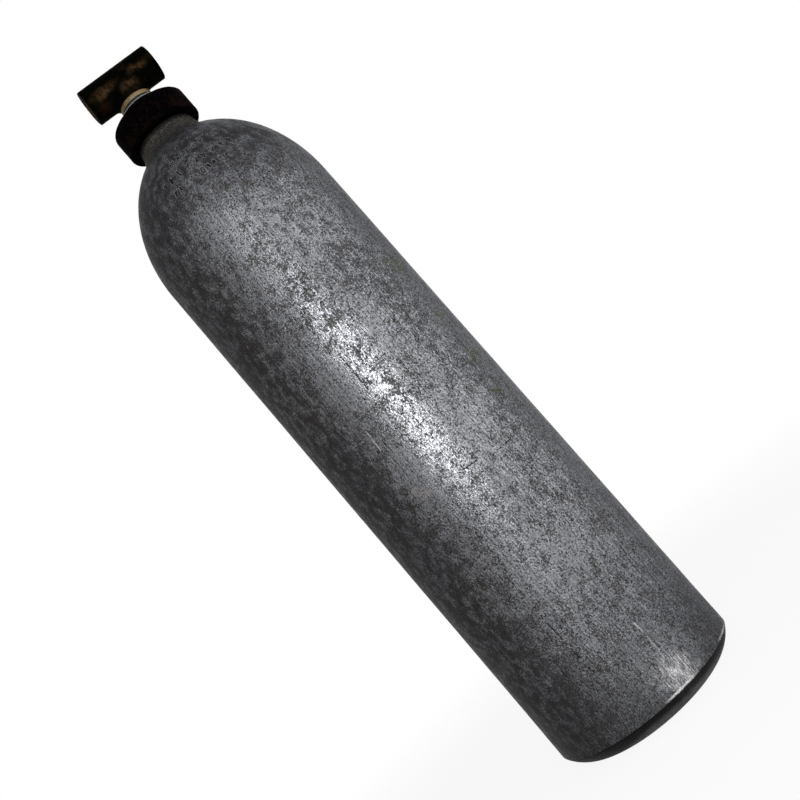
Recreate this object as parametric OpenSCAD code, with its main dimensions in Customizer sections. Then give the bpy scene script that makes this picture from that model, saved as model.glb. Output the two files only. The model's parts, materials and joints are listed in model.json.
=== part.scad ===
/* [Shell] */
// Outside diameter of the cylinder
shell_d = 184; // [150:1:230]
// Height of the straight wall above the floor, up to the start of the shoulder
wall_h = 552; // [400:1:760]
// Thickness of the straight wall
wall_t = 12.5; // [8:0.5:16]
// Thickness of the base
base_t = 16; // [10:1:24]
// Width of the rounded edge of the base, measured inwards from the wall
base_edge_w = 30; // [22:1:40]
// Height of the rounded edge of the base, where it meets the wall in a crisp line
base_edge_h = 17.5; // [12:0.5:20]
// Radius inside the cylinder where the wall meets the base
base_inner_r = 22; // [12:1:30]
// Height of the elliptical shoulder from the wall to its pole
shoulder_h = 116; // [90:1:150]
// Thickness of the shoulder at its pole
crown_t = 22; // [16:1:30]

/* [Neck] */
// Outside diameter of the neck
neck_d = 61; // [54:1:76]
// Radius that blends the shoulder into the neck
neck_fillet_r = 24; // [12:1:30]
// Diameter of the nose, where the neck steps in under the neck ring's lip
nose_d = 43; // [41:0.5:46]
// How far the nose stands out above the neck ring
nose_rise = 3.4; // [2.5:0.1:5]
// Chamfer around the top of the nose
nose_chamfer = 2; // [0.5:0.1:2]

/* [Neck ring] */
// Radial thickness of the neck ring around the neck
ring_t = 8.75; // [6:0.25:12]
// Height of the neck ring's outer wall
ring_wall_h = 26.6; // [20:0.1:40]
// Height from the neck ring's foot to the neck's step, on which its lip sits
ring_seat_h = 26.5; // [20:0.1:26.5]
// Slope of the neck ring's conical top, in degrees
ring_top_slope = 27.5; // [20:0.5:35]
// Rounding between the outer wall and the conical top
ring_top_r = 4; // [1:0.1:5]
// Rounding of the neck ring's lower edge
ring_foot_r = 2.6; // [1:0.1:4]

/* [Valve body] */
// Diameter of the barrel that crosses the top of the valve
barrel_d = 35.6; // [31:0.1:44]
// Chamfer of the barrel's two ends
barrel_chamfer = 1.2; // [0.5:0.1:2]
// Diameter of the upright leg
leg_d = 34; // [30:0.5:40]
// Height of the barrel's axis above the brass sealing ring
leg_h = 21.5; // [20:0.1:30]
// Outside diameter of the shank that screws into the neck
shank_d = 25; // [22:0.5:30]
// Length of the shank below the leg
shank_l = 33; // [24:1:40]
// Diameter of the outlet's threaded socket
outlet_d = 20.6; // [16:0.1:24]
// Depth of the outlet's threaded socket
outlet_depth = 14.8; // [10:0.1:18]
// Length of the gas passage between the outlet and the valve chamber
passage_l = 16.5; // [12:0.5:20]
// Diameter of the gas passages
passage_d = 4.8; // [4.2:0.1:6]

/* [Neck seal] */
// Height of the brass sealing ring under the leg
seal_ring_h = 4.6; // [4:0.1:8]
// How far the brass sealing ring stands out past the leg
seal_ring_lip = 0.3; // [0.2:0.05:2]
// Thickness of the O-ring's section
o_ring_d = 3.5; // [3:0.1:3.6]
// Depth of the O-ring's groove in the top of the neck
o_ring_groove = 1; // [0.6:0.1:1.4]

/* [Inlet tube] */
// Outside diameter of the inlet tube
tube_d = 8; // [7:0.5:10]
// Bore of the inlet tube
tube_bore = 5.2; // [4:0.1:5.8]
// Length of the inlet tube
tube_l = 60; // [25:1:80]
// Depth to which the tube is pressed into the shank
tube_seat = 8; // [5:0.5:12]

/* [Shut-off] */
// Diameter of the threaded chamber in which the plug travels
chamber_d = 18; // [16:0.5:20]
// Distance of the chamber's floor from the leg's axis
chamber_floor = 7; // [6.5:0.1:9]
// Height of the raised seat above the chamber's floor
seat_rise = 2.5; // [2:0.1:3]
// Outside diameter of the raised seat
seat_d = 8.4; // [7.6:0.1:9]
// Diameter of the soft disc that closes the seat
disc_d = 9.2; // [8.8:0.1:10]
// Thickness of the soft disc
disc_t = 2.2; // [1.8:0.1:3]
// How far the soft disc stands out of the plug
disc_proud = 0.4; // [0.2:0.1:0.8]
// Diameter of the plug's nose
plug_nose_d = 12.6; // [11.6:0.1:14]
// Length of the plug's nose
plug_nose_l = 9.1; // [8:0.1:12]
// Length of the plug's threaded part
plug_thread_l = 10; // [8:0.5:14]
// Depth of the driving slot in the back of the plug
slot_depth = 6; // [5:0.5:7]
// Pitch of the plug's thread
plug_pitch = 1.5; // [1:0.25:1.5]
// Turns from shut to fully open
plug_turns = 2; // [1:0.5:2]

/* [Spindle and packing] */
// Diameter of the spindle
spindle_d = 10; // [8:0.5:12.5]
// Width across the flats of the spindle's square end
square_w = 7; // [4.5:0.1:7]
// Diameter of the spindle's flange
flange_d = 16.4; // [14:0.1:16.8]
// Thickness of the spindle's flange
flange_t = 2; // [1.5:0.1:3]
// Thickness of the tang that drives the plug
tang_t = 3; // [2:0.1:4]
// Width of the tang
tang_w = 13; // [10:0.5:14]
// Thickness of the thrust washer
thrust_t = 1.4; // [1:0.1:2]
// Diameter of the threaded bore that takes the bonnet
bonnet_d = 23; // [20:0.5:24]
// Thickness of the bonnet's copper gasket
gasket_t = 1; // [0.8:0.1:1.2]
// Thickness of the bonnet's web that guides the spindle
web_t = 2.5; // [2:0.1:4]
// Diameter of the packing chamber
packing_d = 17; // [15.5:0.5:18]
// Thickness of one packing ring
packing_t = 1.2; // [1:0.1:2]
// Thickness of the brass washer under the packing and of the follower above it
follower_t = 1.2; // [1:0.1:2]
// Length of the packing nut
nut_l = 6.2; // [5:0.1:8]
// Depth of the key recess in the packing nut
key_recess = 4.2; // [3.5:0.1:5]
// Diameter of the key recess
key_recess_d = 12.6; // [12.6:0.1:13.4]

/* [Hidden] */
$fn = 96;

// Clearances and small details
static_gap = 0.05;     // between pieces that are screwed or pressed together
running_gap = 0.06;    // between pieces that turn or slide
axial_gap = 0.05;      // between the spindle's flange and what it bears on
overlap = 1;           // how far a cutter runs past a face
end_recess = 1;        // how far the bonnet lies below the barrel's end
nut_recess = 0.3;      // how far the packing nut lies below the bonnet's end
ring_foot_gap = 0.5;   // from the end of the neck's fillet to the ring
groove_land = 0.95;    // metal between the neck's bore and the O-ring's groove
slot_w = 3;            // spanner slots in the bonnet and the packing nut
slot_cut = 2;          // depth of those slots
screw_d = 2;           // shank of the screw that holds the soft disc
screw_head_d = 3.4;
screw_head_t = 0.8;
screw_l = 6;
arc_step = 4;          // degrees between the points of an arc

// Shell and neck
shell_r = shell_d / 2;
neck_r = neck_d / 2;
inner_r = shell_r - wall_t;
inner_shoulder_h = shoulder_h - crown_t;
base_arc_r = (pow(base_edge_w, 2) + pow(base_edge_h, 2)) / (2 * base_edge_h);
base_arc_sweep = asin(base_edge_w / base_arc_r);
neck_bore_r = shank_d / 2 + static_gap;
groove_r0 = neck_bore_r + groove_land;
o_ring_r = groove_r0 + o_ring_d / 2 + static_gap;
groove_r1 = o_ring_r + o_ring_d / 2 + static_gap;
nose_r = nose_d / 2;
ring_r = neck_r + ring_t;
lip_r = nose_r + static_gap;
ring_h = ring_wall_h + (ring_r - lip_r) * tan(ring_top_slope);

function ellipse_point(a, b, t) = [a * cos(t), wall_h + b * sin(t)];
function unit(v) = v / norm(v);
function ellipse_normal(a, b, t) = unit([cos(t) / a, sin(t) / b]);
// Centre of the neck's fillet when it touches the shoulder at angle t
function fillet_centre(t) = ellipse_point(shell_r, shoulder_h, t)
    + neck_fillet_r * ellipse_normal(shell_r, shoulder_h, t);
// Angle at which the fillet also touches the neck, by halving the interval
function fillet_angle(lo, hi, n) = n == 0 ? (lo + hi) / 2
    : fillet_centre((lo + hi) / 2)[0] > neck_r + neck_fillet_r
        ? fillet_angle((lo + hi) / 2, hi, n - 1)
        : fillet_angle(lo, (lo + hi) / 2, n - 1);
function arc(centre, r, a0, a1) = let (n = ceil(abs(a1 - a0) / arc_step))
    [for (i = [0:n]) centre + r * [cos(a0 + (a1 - a0) * i / n), sin(a0 + (a1 - a0) * i / n)]];

halvings = 30;
fillet_t = fillet_angle(0, 90, halvings);
fillet_c = fillet_centre(fillet_t);
fillet_n = ellipse_normal(shell_r, shoulder_h, fillet_t);
ring_z = fillet_c[1] + ring_foot_gap;
step_z = ring_z + ring_seat_h - static_gap;
neck_top = ring_z + ring_h + nose_rise;

// Heights of the valve
seal_ring_z = neck_top - o_ring_groove + o_ring_d;
leg_z = seal_ring_z + seal_ring_h;
barrel_z = leg_z + leg_h;
shank_z = leg_z - shank_l;

// Places along the barrel, from the leg's axis towards the spindle
outlet_floor = -chamber_floor - passage_l;
outlet_end = outlet_floor - outlet_depth;
seat_x = -chamber_floor + seat_rise;
plug_x = seat_x + disc_proud;
plug_thread_x = plug_x + plug_nose_l;
plug_end = plug_thread_x + plug_thread_l;
plug_travel = plug_pitch * plug_turns;
flange_gap = 0.5;      // from the open plug to the spindle's flange
flange_x = plug_end + plug_travel + flange_gap;
tang_gap = 0.4;        // from the bottom of the slot to the tang when the plug is open
tang_x = plug_end - slot_depth + plug_travel + tang_gap;
thrust_x = flange_x + flange_t + axial_gap;
thrust_end = thrust_x + thrust_t;
bonnet_recess_x = thrust_end + axial_gap;
bonnet_recess = 1;     // depth of the recess that holds the thrust washer
bonnet_x = bonnet_recess_x - bonnet_recess;
bonnet_seat_x = bonnet_x - gasket_t;
packing_x = bonnet_recess_x + web_t;
packing_rings = 3;
follower_x = packing_x + follower_t + packing_rings * packing_t;
nut_x = follower_x + follower_t;
nut_end = nut_x + nut_l;
bonnet_end = nut_end + nut_recess;
barrel_end = bonnet_end + end_recess;
key_x = nut_end - key_recess;
square_gap = 0.2;      // from the end of the square to the end of the packing nut

bronze = [0.20, 0.15, 0.10];
brass = [0.80, 0.65, 0.38];
steel = [0.55, 0.55, 0.56];

// A turned piece from its half section, given as radius and length
module turned(points) {
    rotate_extrude() polygon(points);
}

// A plain ring with square edges
module washer(outer_r, inner_r, t) {
    turned([[inner_r, 0], [outer_r, 0], [outer_r, t], [inner_r, t]]);
}

// Places what is drawn along +Z on the barrel's axis, pointing to the spindle's end
module on_barrel(x) {
    translate([x, 0, barrel_z]) rotate([0, 90, 0]) children();
}

// Two slots across an end face for a face spanner
module spanner_slots(reach) {
    translate([-reach, -slot_w / 2, -slot_cut]) cube([2 * reach, slot_w, slot_cut + overlap]);
}

module cylinder_shell() {
    outside = concat(
        [[0, 0]],
        arc([shell_r - base_edge_w, base_arc_r], base_arc_r, -90, -90 + base_arc_sweep),
        [for (i = [0:ceil(fillet_t / arc_step)])
            ellipse_point(shell_r, shoulder_h, fillet_t * i / ceil(fillet_t / arc_step))],
        arc(fillet_c, neck_fillet_r, atan2(-fillet_n[1], -fillet_n[0]) + 360, 180),
        [[neck_r, step_z], [nose_r, step_z], [nose_r, neck_top - nose_chamfer],
         [nose_r - nose_chamfer, neck_top]]);
    groove_z = neck_top - o_ring_groove;
    mouth = [[groove_r1, neck_top], [groove_r1, groove_z], [groove_r0, groove_z],
             [groove_r0, neck_top], [neck_bore_r, neck_top]];
    bore_t = acos(neck_bore_r / inner_r);
    steps = ceil(bore_t / arc_step);
    inside = concat(
        [for (i = [steps:-1:0]) ellipse_point(inner_r, inner_shoulder_h, bore_t * i / steps)],
        arc([inner_r - base_inner_r, base_t + base_inner_r], base_inner_r, 0, -90),
        [[0, base_t]]);
    color([0.50, 0.51, 0.53]) turned(concat(outside, mouth, inside));
}

module neck_ring() {
    bore_r = neck_r + static_gap;
    // Centre height of the rounding that touches both the wall and the cone
    top_z = ring_wall_h + ring_top_r * (tan(ring_top_slope) - 1 / cos(ring_top_slope));
    color([0.17, 0.11, 0.10]) translate([0, 0, ring_z]) turned(concat(
        [[bore_r, 0]],
        arc([ring_r - ring_foot_r, ring_foot_r], ring_foot_r, -90, 0),
        arc([ring_r - ring_top_r, top_z], ring_top_r, 0, 90 - ring_top_slope),
        [[lip_r, ring_h], [lip_r, ring_seat_h], [bore_r, ring_seat_h]]));
}

module neck_o_ring() {
    color([0.06, 0.06, 0.06]) translate([0, 0, neck_top - o_ring_groove + o_ring_d / 2])
        rotate_extrude() translate([o_ring_r, 0]) circle(d = o_ring_d);
}

module seal_ring() {
    outer_r = leg_d / 2 + seal_ring_lip;
    color(brass) translate([0, 0, seal_ring_z]) washer(outer_r, neck_bore_r, seal_ring_h);
}

// The gas ways inside the valve body, as one solid to cut away
module valve_ways() {
    on_barrel(outlet_end - overlap) cylinder(d = outlet_d, h = outlet_depth + overlap);
    on_barrel(outlet_floor - overlap) cylinder(d = passage_d, h = seat_x - outlet_floor + 2 * overlap);
    on_barrel(-chamber_floor) difference() {
        cylinder(d = chamber_d, h = chamber_floor + bonnet_seat_x + overlap);
        translate([0, 0, -overlap]) cylinder(d = seat_d, h = seat_rise + overlap);
    }
    on_barrel(bonnet_seat_x) cylinder(d = bonnet_d, h = barrel_end - bonnet_seat_x + overlap);
    translate([0, 0, shank_z]) cylinder(d = passage_d, h = barrel_z - chamber_d / 4 - shank_z);
    translate([0, 0, shank_z - overlap]) cylinder(d = tube_d + 2 * static_gap, h = tube_seat + overlap);
}

module valve_body() {
    r = barrel_d / 2;
    c = barrel_chamfer;
    l = barrel_end - outlet_end;
    color(bronze) difference() {
        union() {
            on_barrel(outlet_end) turned([[0, 0], [r - c, 0], [r, c], [r, l - c], [r - c, l], [0, l]]);
            translate([0, 0, leg_z]) cylinder(d = leg_d, h = leg_h);
            translate([0, 0, shank_z]) cylinder(d = shank_d, h = shank_l + overlap);
        }
        valve_ways();
    }
}

module inlet_tube() {
    color(brass) translate([0, 0, shank_z + tube_seat - tube_l])
        washer(tube_d / 2, tube_bore / 2, tube_l);
}

module seat_disc() {
    color([0.85, 0.83, 0.76]) on_barrel(seat_x)
        washer(disc_d / 2, screw_d / 2 + static_gap, disc_t);
}

module seat_screw() {
    color(steel) on_barrel(seat_x - screw_head_t) {
        cylinder(d = screw_head_d, h = screw_head_t);
        cylinder(d = screw_d, h = screw_l);
    }
}

module valve_plug() {
    socket_r = disc_d / 2 + static_gap;
    disc_seat = disc_t - disc_proud;
    nose_r = plug_nose_d / 2;
    thread_r = chamber_d / 2 - running_gap;
    color(brass) on_barrel(plug_x) difference() {
        union() {
            cylinder(r = nose_r, h = plug_nose_l);
            translate([0, 0, plug_nose_l]) cylinder(r = thread_r, h = plug_thread_l);
        }
        translate([0, 0, -overlap]) cylinder(r = socket_r, h = disc_seat + overlap);
        cylinder(d = screw_d + 2 * static_gap, h = screw_l);
        translate([-thread_r - overlap, -tang_t / 2 - running_gap, plug_nose_l + plug_thread_l - slot_depth])
            cube([2 * (thread_r + overlap), tang_t + 2 * running_gap, slot_depth + overlap]);
    }
}

module spindle() {
    square_l = nut_end - square_gap - key_x;
    color(steel) {
        on_barrel(tang_x) translate([-tang_w / 2, -tang_t / 2, 0])
            cube([tang_w, tang_t, flange_x - tang_x + flange_t / 2]);
        on_barrel(flange_x) cylinder(d = flange_d, h = flange_t);
        on_barrel(flange_x) cylinder(d = spindle_d, h = key_x - flange_x);
        on_barrel(key_x - flange_t / 2) translate([-square_w / 2, -square_w / 2, 0])
            cube([square_w, square_w, square_l + flange_t / 2]);
    }
}

module thrust_washer() {
    color([0.88, 0.86, 0.80]) on_barrel(thrust_x)
        washer(packing_d / 2 - static_gap, spindle_d / 2 + running_gap, thrust_t);
}

module bonnet() {
    r = bonnet_d / 2 - static_gap;
    guide_r = spindle_d / 2 + running_gap;
    l = bonnet_end - bonnet_x;
    color(brass) on_barrel(bonnet_x) difference() {
        cylinder(r = r, h = l);
        translate([0, 0, -overlap]) cylinder(d = packing_d, h = bonnet_recess + overlap);
        translate([0, 0, -overlap]) cylinder(r = guide_r, h = l);
        translate([0, 0, packing_x - bonnet_x]) cylinder(d = packing_d, h = l);
        translate([0, 0, l]) spanner_slots(r + overlap);
    }
}

module bonnet_gasket() {
    color([0.72, 0.45, 0.32]) on_barrel(bonnet_seat_x)
        washer(bonnet_d / 2 - static_gap, chamber_d / 2 + static_gap, gasket_t);
}

// A ring that fills the packing chamber around the spindle
module packing_part(x, t) {
    on_barrel(x) washer(packing_d / 2 - static_gap, spindle_d / 2 + running_gap, t);
}

module packing_washer() {
    color(brass) packing_part(packing_x, follower_t);
}

module packing_ring(i) {
    color([0.90, 0.90, 0.88]) packing_part(packing_x + follower_t + (i - 1) * packing_t, packing_t);
}

module packing_follower() {
    color(brass) packing_part(follower_x, follower_t);
}

module packing_nut() {
    r = packing_d / 2 - static_gap;
    color(steel) on_barrel(nut_x) difference() {
        cylinder(r = r, h = nut_l);
        translate([0, 0, -overlap]) cylinder(r = spindle_d / 2 + running_gap, h = nut_l);
        translate([0, 0, key_x - nut_x]) cylinder(d = key_recess_d, h = key_recess + overlap);
        translate([0, 0, nut_l]) spanner_slots(r + overlap);
    }
}

cylinder_shell();
neck_ring();
neck_o_ring();
seal_ring();
valve_body();
inlet_tube();
seat_disc();
seat_screw();
valve_plug();
spindle();
thrust_washer();
bonnet();
bonnet_gasket();
packing_washer();
packing_ring(1);  // packing_ring_1
packing_ring(2);  // packing_ring_2
packing_ring(3);  // packing_ring_3
packing_follower();
packing_nut();
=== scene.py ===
import json
import math
import random
from types import SimpleNamespace
import bmesh
import bpy
import numpy as np
from mathutils import Matrix, Vector, noise


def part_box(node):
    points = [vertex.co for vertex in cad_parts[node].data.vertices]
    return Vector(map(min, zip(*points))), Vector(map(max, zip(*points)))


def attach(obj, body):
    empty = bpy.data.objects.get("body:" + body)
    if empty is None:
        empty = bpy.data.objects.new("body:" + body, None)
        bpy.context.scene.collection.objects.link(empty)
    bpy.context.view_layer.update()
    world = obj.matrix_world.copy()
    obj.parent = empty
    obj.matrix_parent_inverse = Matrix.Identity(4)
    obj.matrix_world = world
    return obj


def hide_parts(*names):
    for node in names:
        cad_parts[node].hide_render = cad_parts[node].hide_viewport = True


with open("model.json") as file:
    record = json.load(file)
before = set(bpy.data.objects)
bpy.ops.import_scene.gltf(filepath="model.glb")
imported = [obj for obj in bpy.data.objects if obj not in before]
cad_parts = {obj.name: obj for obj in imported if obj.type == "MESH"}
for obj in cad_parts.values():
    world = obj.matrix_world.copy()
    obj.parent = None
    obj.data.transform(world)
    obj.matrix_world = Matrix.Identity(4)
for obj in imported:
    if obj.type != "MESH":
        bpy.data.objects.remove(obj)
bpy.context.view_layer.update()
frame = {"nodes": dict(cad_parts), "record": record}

MM = 0.001
FULL_TURN = 2 * math.pi

# ---------------------------------------------------------------- sizes, from the frame
shell_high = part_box("cylinder_shell")[1]
ring_low, ring_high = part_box("neck_ring")
body_low, body_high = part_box("valve_body")
seal_low, seal_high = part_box("seal_ring")

shell_r = shell_high.x
nose_rim_z = shell_high.z / MM - 2.0   # the middle of the nose's bare rim, in millimetres
barrel_r = body_high.y
barrel_z = body_high.z - barrel_r
outlet_x = body_low.x
spindle_x = body_high.x
leg_z = seal_high.z

# ---------------------------------------------------------------- view and lamps
# The camera stands a little to the outlet's side, and is rolled; angles in radians, lengths in metres
VIEW_TURN = math.radians(-8.35)
VIEW_DISTANCE = 0.920
VIEW_HEIGHT = 0.2548
VIEW_PITCH = 0.0985
VIEW_YAW = 0.0046
VIEW_ROLL = -0.7141
LENS_MM = 45.94
SENSOR_MM = 36.0
# Lamps: azimuth in degrees, distance, height, width and tallness in metres, and power in watts
LAMPS = {
    "key": (3, 1.30, 0.49, 0.60, 0.40, 12.0),
    "fill": (64, 1.35, 0.42, 1.8, 1.2, 11.3),
}
LAMP_AIM = 0.33


def add_camera():
    """The camera that frames the cylinder on a slant."""
    forward = Vector((
        math.sin(VIEW_YAW) * math.cos(VIEW_PITCH),
        math.cos(VIEW_YAW) * math.cos(VIEW_PITCH),
        math.sin(VIEW_PITCH),
    ))
    level = Vector((math.cos(VIEW_YAW), -math.sin(VIEW_YAW), 0))
    above = level.cross(forward)
    right = level * math.cos(VIEW_ROLL) + above * math.sin(VIEW_ROLL)
    up = -level * math.sin(VIEW_ROLL) + above * math.cos(VIEW_ROLL)
    axes = Matrix((right, up, -forward)).transposed().to_4x4()
    place = Matrix.Translation((0, -VIEW_DISTANCE, VIEW_HEIGHT))
    data = bpy.data.cameras.new("view")
    data.lens = LENS_MM
    data.sensor_width = SENSOR_MM
    data.clip_start = 0.01
    camera = bpy.data.objects.new("view", data)
    camera.matrix_world = Matrix.Rotation(VIEW_TURN, 4, "Z") @ place @ axes
    bpy.context.scene.collection.objects.link(camera)
    bpy.context.scene.camera = camera


def around(azimuth, radius, height):
    """A point by its azimuth in degrees, counted to the right from the camera's side."""
    angle = math.radians(azimuth - 90) + VIEW_TURN
    return Vector((radius * math.cos(angle), radius * math.sin(angle), height))


def add_softbox(name, azimuth, distance, height, width, tall, power):
    """A rectangular white lamp that faces the cylinder's axis at the height LAMP_AIM."""
    data = bpy.data.lights.new(name, "AREA")
    data.shape = "RECTANGLE"
    data.size = width
    data.size_y = tall
    data.energy = power
    lamp = bpy.data.objects.new(name, data)
    lamp.location = around(azimuth, distance, height)
    facing = Vector((0, 0, LAMP_AIM)) - lamp.location
    lamp.rotation_euler = facing.to_track_quat("-Z", "Y").to_euler()
    bpy.context.scene.collection.objects.link(lamp)


# ---------------------------------------------------------------- material graphs
class Graph:
    """A short way to write a material's nodes."""

    def __init__(self, name):
        self.material = bpy.data.materials.new(name)
        self.material.use_nodes = True
        self.tree = self.material.node_tree
        self.tree.nodes.clear()
        self.output = self.tree.nodes.new("ShaderNodeOutputMaterial")

    def node(self, kind, inputs=None, **settings):
        """Adds a node; inputs maps a socket's name or number to a value or to another output."""
        made = self.tree.nodes.new(kind)
        for key, value in settings.items():
            setattr(made, key, value)
        for key, value in (inputs or {}).items():
            self.feed(made.inputs[key], value)
        return made

    def feed(self, socket, value):
        if isinstance(value, bpy.types.NodeSocket):
            self.tree.links.new(value, socket)
        else:
            socket.default_value = value

    def math(self, operation, a, b=0.0, c=0.0, clamp=False):
        made = self.node("ShaderNodeMath", {0: a, 1: b, 2: c}, operation=operation, use_clamp=clamp)
        return made.outputs[0]

    def times(self, a, b):
        return self.math("MULTIPLY", a, b)

    def add_times(self, value, share, total):
        """The total plus a share of the value."""
        return self.math("MULTIPLY_ADD", value, share, total)

    def centred(self, value):
        return self.math("SUBTRACT", value, 0.5)

    def rest_of(self, share):
        """What a share leaves of 1."""
        return self.math("SUBTRACT", 1.0, share, clamp=True)

    def vector(self, operation, a, b=(0, 0, 0)):
        made = self.node("ShaderNodeVectorMath", {0: a}, operation=operation)
        if operation == "SCALE":
            self.feed(made.inputs["Scale"], b)
        elif operation != "LENGTH":
            self.feed(made.inputs[1], b)
        return made.outputs["Value" if operation in ("LENGTH", "DOT_PRODUCT") else "Vector"]

    def place(self, scale=(1, 1, 1)):
        """The point on the object in millimetres, stretched by scale."""
        point = self.node("ShaderNodeTexCoord").outputs["Object"]
        factors = tuple(s / MM for s in scale)
        return self.vector("MULTIPLY", point, factors)

    def noise(self, where, scale, detail=2.0, roughness=0.5):
        made = self.node("ShaderNodeTexNoise", {
            "Vector": where, "Scale": scale, "Detail": detail, "Roughness": roughness})
        return made.outputs["Fac"]

    def grain(self, stretch, scale, detail, roughness):
        """Noise drawn out along the cylinder: its pattern is 1 / stretch times as long as it is wide."""
        return self.noise(self.place((1, 1, stretch)), scale, detail, roughness)

    def step(self, value, low, high, out_low=0.0, out_high=1.0):
        """A smooth step from out_low to out_high as value goes from low to high."""
        made = self.node("ShaderNodeMapRange", {
            "Value": value, "From Min": low, "From Max": high,
            "To Min": out_low, "To Max": out_high,
        }, interpolation_type="SMOOTHSTEP")
        return made.outputs["Result"]

    def mix(self, factor, a, b, blend="MIX"):
        made = self.node("ShaderNodeMix", data_type="RGBA", blend_type=blend)
        self.feed(made.inputs[0], factor)
        self.feed(made.inputs[6], a)
        self.feed(made.inputs[7], b)
        return made.outputs[2]

    def blend(self, factor, a, b):
        made = self.node("ShaderNodeMix", data_type="FLOAT")
        self.feed(made.inputs[0], factor)
        self.feed(made.inputs[2], a)
        self.feed(made.inputs[3], b)
        return made.outputs[0]

    def bump(self, height, distance):
        return self.node("ShaderNodeBump", {"Height": height, "Distance": distance}).outputs["Normal"]

    def height(self):
        """The height on the object in millimetres."""
        point = self.node("ShaderNodeTexCoord").outputs["Object"]
        parts = self.node("ShaderNodeSeparateXYZ", {0: point})
        return self.math("DIVIDE", parts.outputs[2], MM)

    def moved(self, base, where, scale, reach, detail=1.0):
        """The point base moved about by up to half of reach, so that an outline there is ragged."""
        colour = self.node("ShaderNodeTexNoise", {
            "Vector": where, "Scale": scale, "Detail": detail}).outputs["Color"]
        offset = self.vector("SUBTRACT", colour, (0.5, 0.5, 0.5))
        return self.vector("ADD", base, self.vector("SCALE", offset, reach))

    def surface(self, **sockets):
        """Ends the graph in a principled shader with these sockets."""
        names = {key.replace("_", " ").title().replace("Ior", "IOR"): value
                 for key, value in sockets.items()}
        shader = self.node("ShaderNodeBsdfPrincipled", names)
        self.tree.links.new(shader.outputs[0], self.output.inputs["Surface"])
        return self.material


def grey(level, warmth=0.0):
    """A nearly neutral colour; warmth above 0 is brownish and below 0 bluish."""
    return (level * (1 + warmth), level, level * (1 - warmth), 1)


# ---------------------------------------------------------------- marks on the shell
# Dark and bright lines: azimuth in degrees and height in millimetres at both ends, then half width
DARK_LINES = (
    ((-15.5, 132), (-14, 81), 0.65),
    ((-14, 81), (-13.5, 72), 0.45),
    ((-25.5, 93), (-26.5, 82), 0.5),
    ((-6, 393), (-6.5, 361), 0.55),
    ((-33.5, 316), (-33.5, 307), 0.5),
    ((3.5, 260), (12, 259), 0.5),
    ((20.5, 254), (34, 254), 0.5),
    ((27, 330), (26, 290), 0.3),
)
# Of the bright lines, the first is a scratch; those near the foot are painted glints of the lamps.
BRIGHT_LINES = (
    ((-22, 336), (-22.5, 316), 0.5),
    ((18, 80), (18.5, 70), 0.7),
    ((18.5, 66), (18, 44), 0.3),
    ((24, 36), (23.5, 27), 0.3),
)
# Corroded patches: azimuth, height and radius in millimetres
PATCHES = (
    (7.5, 268, 9),
    (-29, 265, 10),
    (-31, 181, 9),
    (-3, 352, 5),
    (28, 392, 7),
)
# Patches with a yellow-green film
MOSSY = (
    (51.5, 291, 6),
    (56, 371, 12),
    (60, 330, 16),
    (60, 430, 16),
    (150, 300, 20),
    (215, 160, 18),
    (-95, 380, 15),
)
# A pale crusted patch
PALE_PATCH = (-19.5, 268, 7)
# Areas rubbed cleaner than the rest, laid along the lamps' highlight and painted brighter there as
# highlight
BURNISHED_SHEEN = (
    (2, 510, 75),
    (1, 385, 75),
    (5, 285, 75),
    (8, 150, 50),
    (18, 40, 40),
)
# The bright glint above the foot
GLINT = (18.5, 28, 22)
# Azimuths of the side painted darker as shade, away from the lamps, and how far it fades at each end
SHADED_SIDE = (-150, -27, 22)
# Azimuths between which the foot's edge is rubbed bare and painted bright as a glint, and the fade
WORN_GLINT_RIM = (6, 23, 5)


def unrolled(graph):
    """The shell's wall laid flat: x is the arc to the right of the camera's side, y the height."""
    point = graph.vector("SCALE", graph.node("ShaderNodeTexCoord").outputs["Object"], 1 / MM)
    parts = graph.node("ShaderNodeSeparateXYZ", {0: point})
    turn = VIEW_TURN - math.pi / 2
    ahead = graph.math("ADD", graph.math("MULTIPLY", parts.outputs[0], math.cos(turn)),
                       graph.math("MULTIPLY", parts.outputs[1], math.sin(turn)))
    aside = graph.math("SUBTRACT", graph.math("MULTIPLY", parts.outputs[1], math.cos(turn)),
                       graph.math("MULTIPLY", parts.outputs[0], math.sin(turn)))
    arc_length = graph.math("MULTIPLY", graph.math("ARCTAN2", aside, ahead), shell_r / MM)
    return graph.node("ShaderNodeCombineXYZ", {0: arc_length, 1: parts.outputs[2]}).outputs[0]


def flat_place(azimuth, height):
    """A point of the unrolled wall."""
    return Vector((math.radians(azimuth) * shell_r / MM, height, 0))


def line_mask(graph, flat, start, end, half_width):
    """1 along a thin line between two points of the unrolled wall."""
    a = flat_place(*start)
    along = flat_place(*end) - a
    offset = graph.vector("SUBTRACT", flat, a)
    share = graph.math("DIVIDE", graph.vector("DOT_PRODUCT", offset, along), along.length_squared)
    share = graph.math("MINIMUM", graph.math("MAXIMUM", share, 0.0), 1.0)
    nearest = graph.vector("SCALE", along, share)
    distance = graph.vector("LENGTH", graph.vector("SUBTRACT", offset, nearest))
    return graph.step(distance, half_width * 0.4, half_width * 1.4, 1.0, 0.0)


def patch_mask(graph, flat, azimuth, height, radius):
    """1 inside a round patch of the unrolled wall."""
    distance = graph.vector("LENGTH", graph.vector("SUBTRACT", flat, flat_place(azimuth, height)))
    return graph.step(distance, radius * 0.3, radius, 1.0, 0.0)


def side_mask(graph, flat, side):
    """1 between two azimuths of the unrolled wall, fading out past them."""
    first, last, fade = (math.radians(angle) * shell_r / MM for angle in side)
    across = graph.node("ShaderNodeSeparateXYZ", {0: flat}).outputs[0]
    return graph.math("MULTIPLY", graph.step(across, first - fade, first + fade),
                      graph.step(across, last - fade, last + fade, 1.0, 0.0))


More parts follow.
